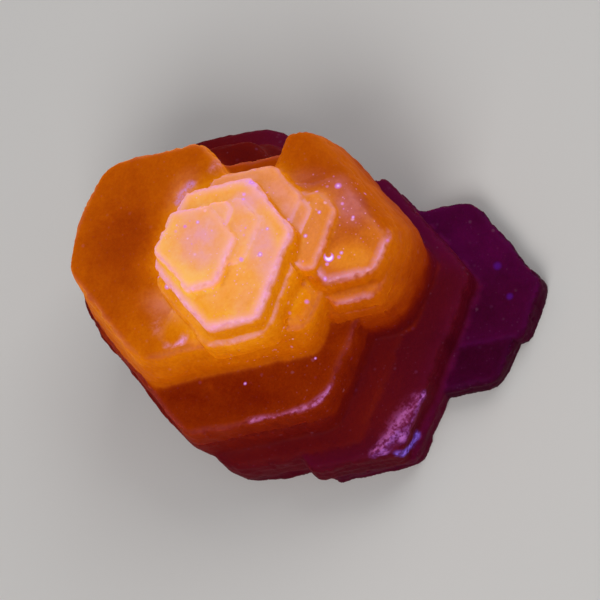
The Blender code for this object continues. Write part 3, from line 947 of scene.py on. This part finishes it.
def withRimHighlights(colour, surface, looks):
    # Painted highlight on the frosted rims, where they scatter the lamp's light, with a soft edge, broken
    # here and there
    noises = (surface.cloudy, surface.mottled, surface.grainy)
    fromRim = shaken(surface.mask("rimDistance"), noises, looks["rimRagged"])
    softFade, coreFade = looks["rimFades"]
    coreShare, edgeShare = looks["rimCore"]
    core = fromRim.between(*softFade) * looks["rimSoft"]
    core = core + fromRim.between(*coreFade) * (coreShare + edgeShare * surface.mask("edge"))
    beads = (surface.mottled * 0.4 + surface.grainy * 0.6).between(0.47, 0.56)
    beads = beads * surface.bright * looks["beadShare"]
    rimHighlightTone = mixed(beads, surface.tone("rimHighlightTones"), linear(*looks["beadTone"]))
    return mixed(surface.mask("rimStrength") * core * (0.65 + 0.35 * surface.patchy), colour, rimHighlightTone)


def withFrostGlint(colour, surface, looks):
    # Frost, drawn out into streaks, with painted glints of the lamp's violet and blue light on it
    frost = surface.mask("frost")
    streaked = vectorMaths(surface.tree, "MULTIPLY", {0: surface.place, 1: looks["streakStretch"]})
    streaks = lumps(surface.tree, streaked, *looks["streakNoise"]) * 0.4
    streaks = (streaks + surface.mottled * 0.25 + surface.grainy * 0.35).between(0.43, 0.56)
    frostGlintTone = mixed(surface.mask("frostBlue"), surface.tone("frostGlintTones"), linear(*looks["frostBlue"]))
    frostGlintTone = mixed(frost * streaks * looks["frostGlintCore"], frostGlintTone, linear(*looks["frostGlintPale"]))
    gaps = looks["frostGlintGaps"]
    return mixed(frost * (gaps + (1 - gaps) * streaks), colour, frostGlintTone)


def withDust(colour, surface, looks):
    # Violet dust, coarse and fine, and the two soft spots in the far wing
    dust = surface.mask("dust")
    for cell, chance, size, strength in looks["dustSizes"]:
        speck, own = specks(surface.tree, surface.place, cell, chance, size)
        dustTone = mixed(own, *(linear(*tone) for tone in looks["dustTones"]))
        colour = mixed(speck * dust * (0.3 + surface.patchy) * strength, colour, dustTone)
    farSpot = nearestOf(surface.tree, surface.place, farSpots).between(1.0, 0.2)
    return mixed(farSpot * 0.7, colour, linear(*looks["farSpots"]))


def withSparks(colour, surface, looks):
    # Painted glints of the lamp's light, violet outside and white in the middle, and one white crescent with
    # a violet edge, a painted reflection of the lamp
    outerTone, innerTone = (linear(*tone) for tone in looks["glintTones"])
    spark = nearestOf(surface.tree, surface.place, glints)
    colour = mixed(spark.between(1.0, 0.35) * 0.75, colour, outerTone)
    colour = mixed(spark.between(0.45, 0.1) * 0.6, colour, innerTone)
    whole, hollow = (
        nearestOf(surface.tree, surface.place, [crescent[name]]) for name in ("whole", "hollow")
    )
    colour = mixed(whole.between(1.15, 0.8) * hollow.between(0.6, 0.95), colour, outerTone)
    return mixed(whole.between(0.85, 0.6) * hollow.between(0.8, 1.1), colour, innerTone)


def makeCalcite(looks):
    material = bpy.data.materials.new("calcite")
    material.use_nodes = True
    tree = material.node_tree
    shader = tree.nodes["Principled BSDF"]
    surface = Surface(tree, looks)
    colour = glowOf(surface, looks)
    colour = withPaintedSheen(colour, surface)
    colour = withRimHighlights(colour, surface, looks)
    colour = withFrostGlint(colour, surface, looks)
    colour = withDust(colour, surface, looks)
    colour = withSparks(colour, surface, looks)

    low, high = looks["roughness"]
    height = surface.grainy * 0.6 + surface.mottled * 0.4
    bump = {"Height": height, "Distance": looks["bumpHeight"] * mm, "Strength": 1.0}
    inputs = {
        "Base Color": mixed(1.0, colour, (looks["bodyShare"],) * 3 + (1.0,), "MULTIPLY"),
        "Emission Color": colour,
        # painted glow: the whole colour is also emitted, as the crystal fluoresces under an ultraviolet lamp
        # that the scene does not have
        "Roughness": surface.grainy * (high - low) + low,
        "Normal": Wire.node(tree, "ShaderNodeBump", {}, bump),
    }
    for name, wire in inputs.items():
        tree.links.new(wire.socket, shader.inputs[name])
    shader.inputs["Emission Strength"].default_value = looks["glowStrength"]
    shader.inputs["Specular IOR Level"].default_value = looks["shine"]
    shader.inputs["IOR"].default_value = looks["refraction"]
    shader.inputs["Subsurface Weight"].default_value = looks["scatterShare"]
    shader.inputs["Subsurface Radius"].default_value = looks["scatterReach"]
    shader.inputs["Subsurface Scale"].default_value = looks["scatterDepth"] * mm
    return material


skin.data.materials.clear()
skin.data.materials.append(makeCalcite(calciteLooks))
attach(skin, "root")
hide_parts("calcite")
print("calcite finished")

bpy.context.view_layer.update()
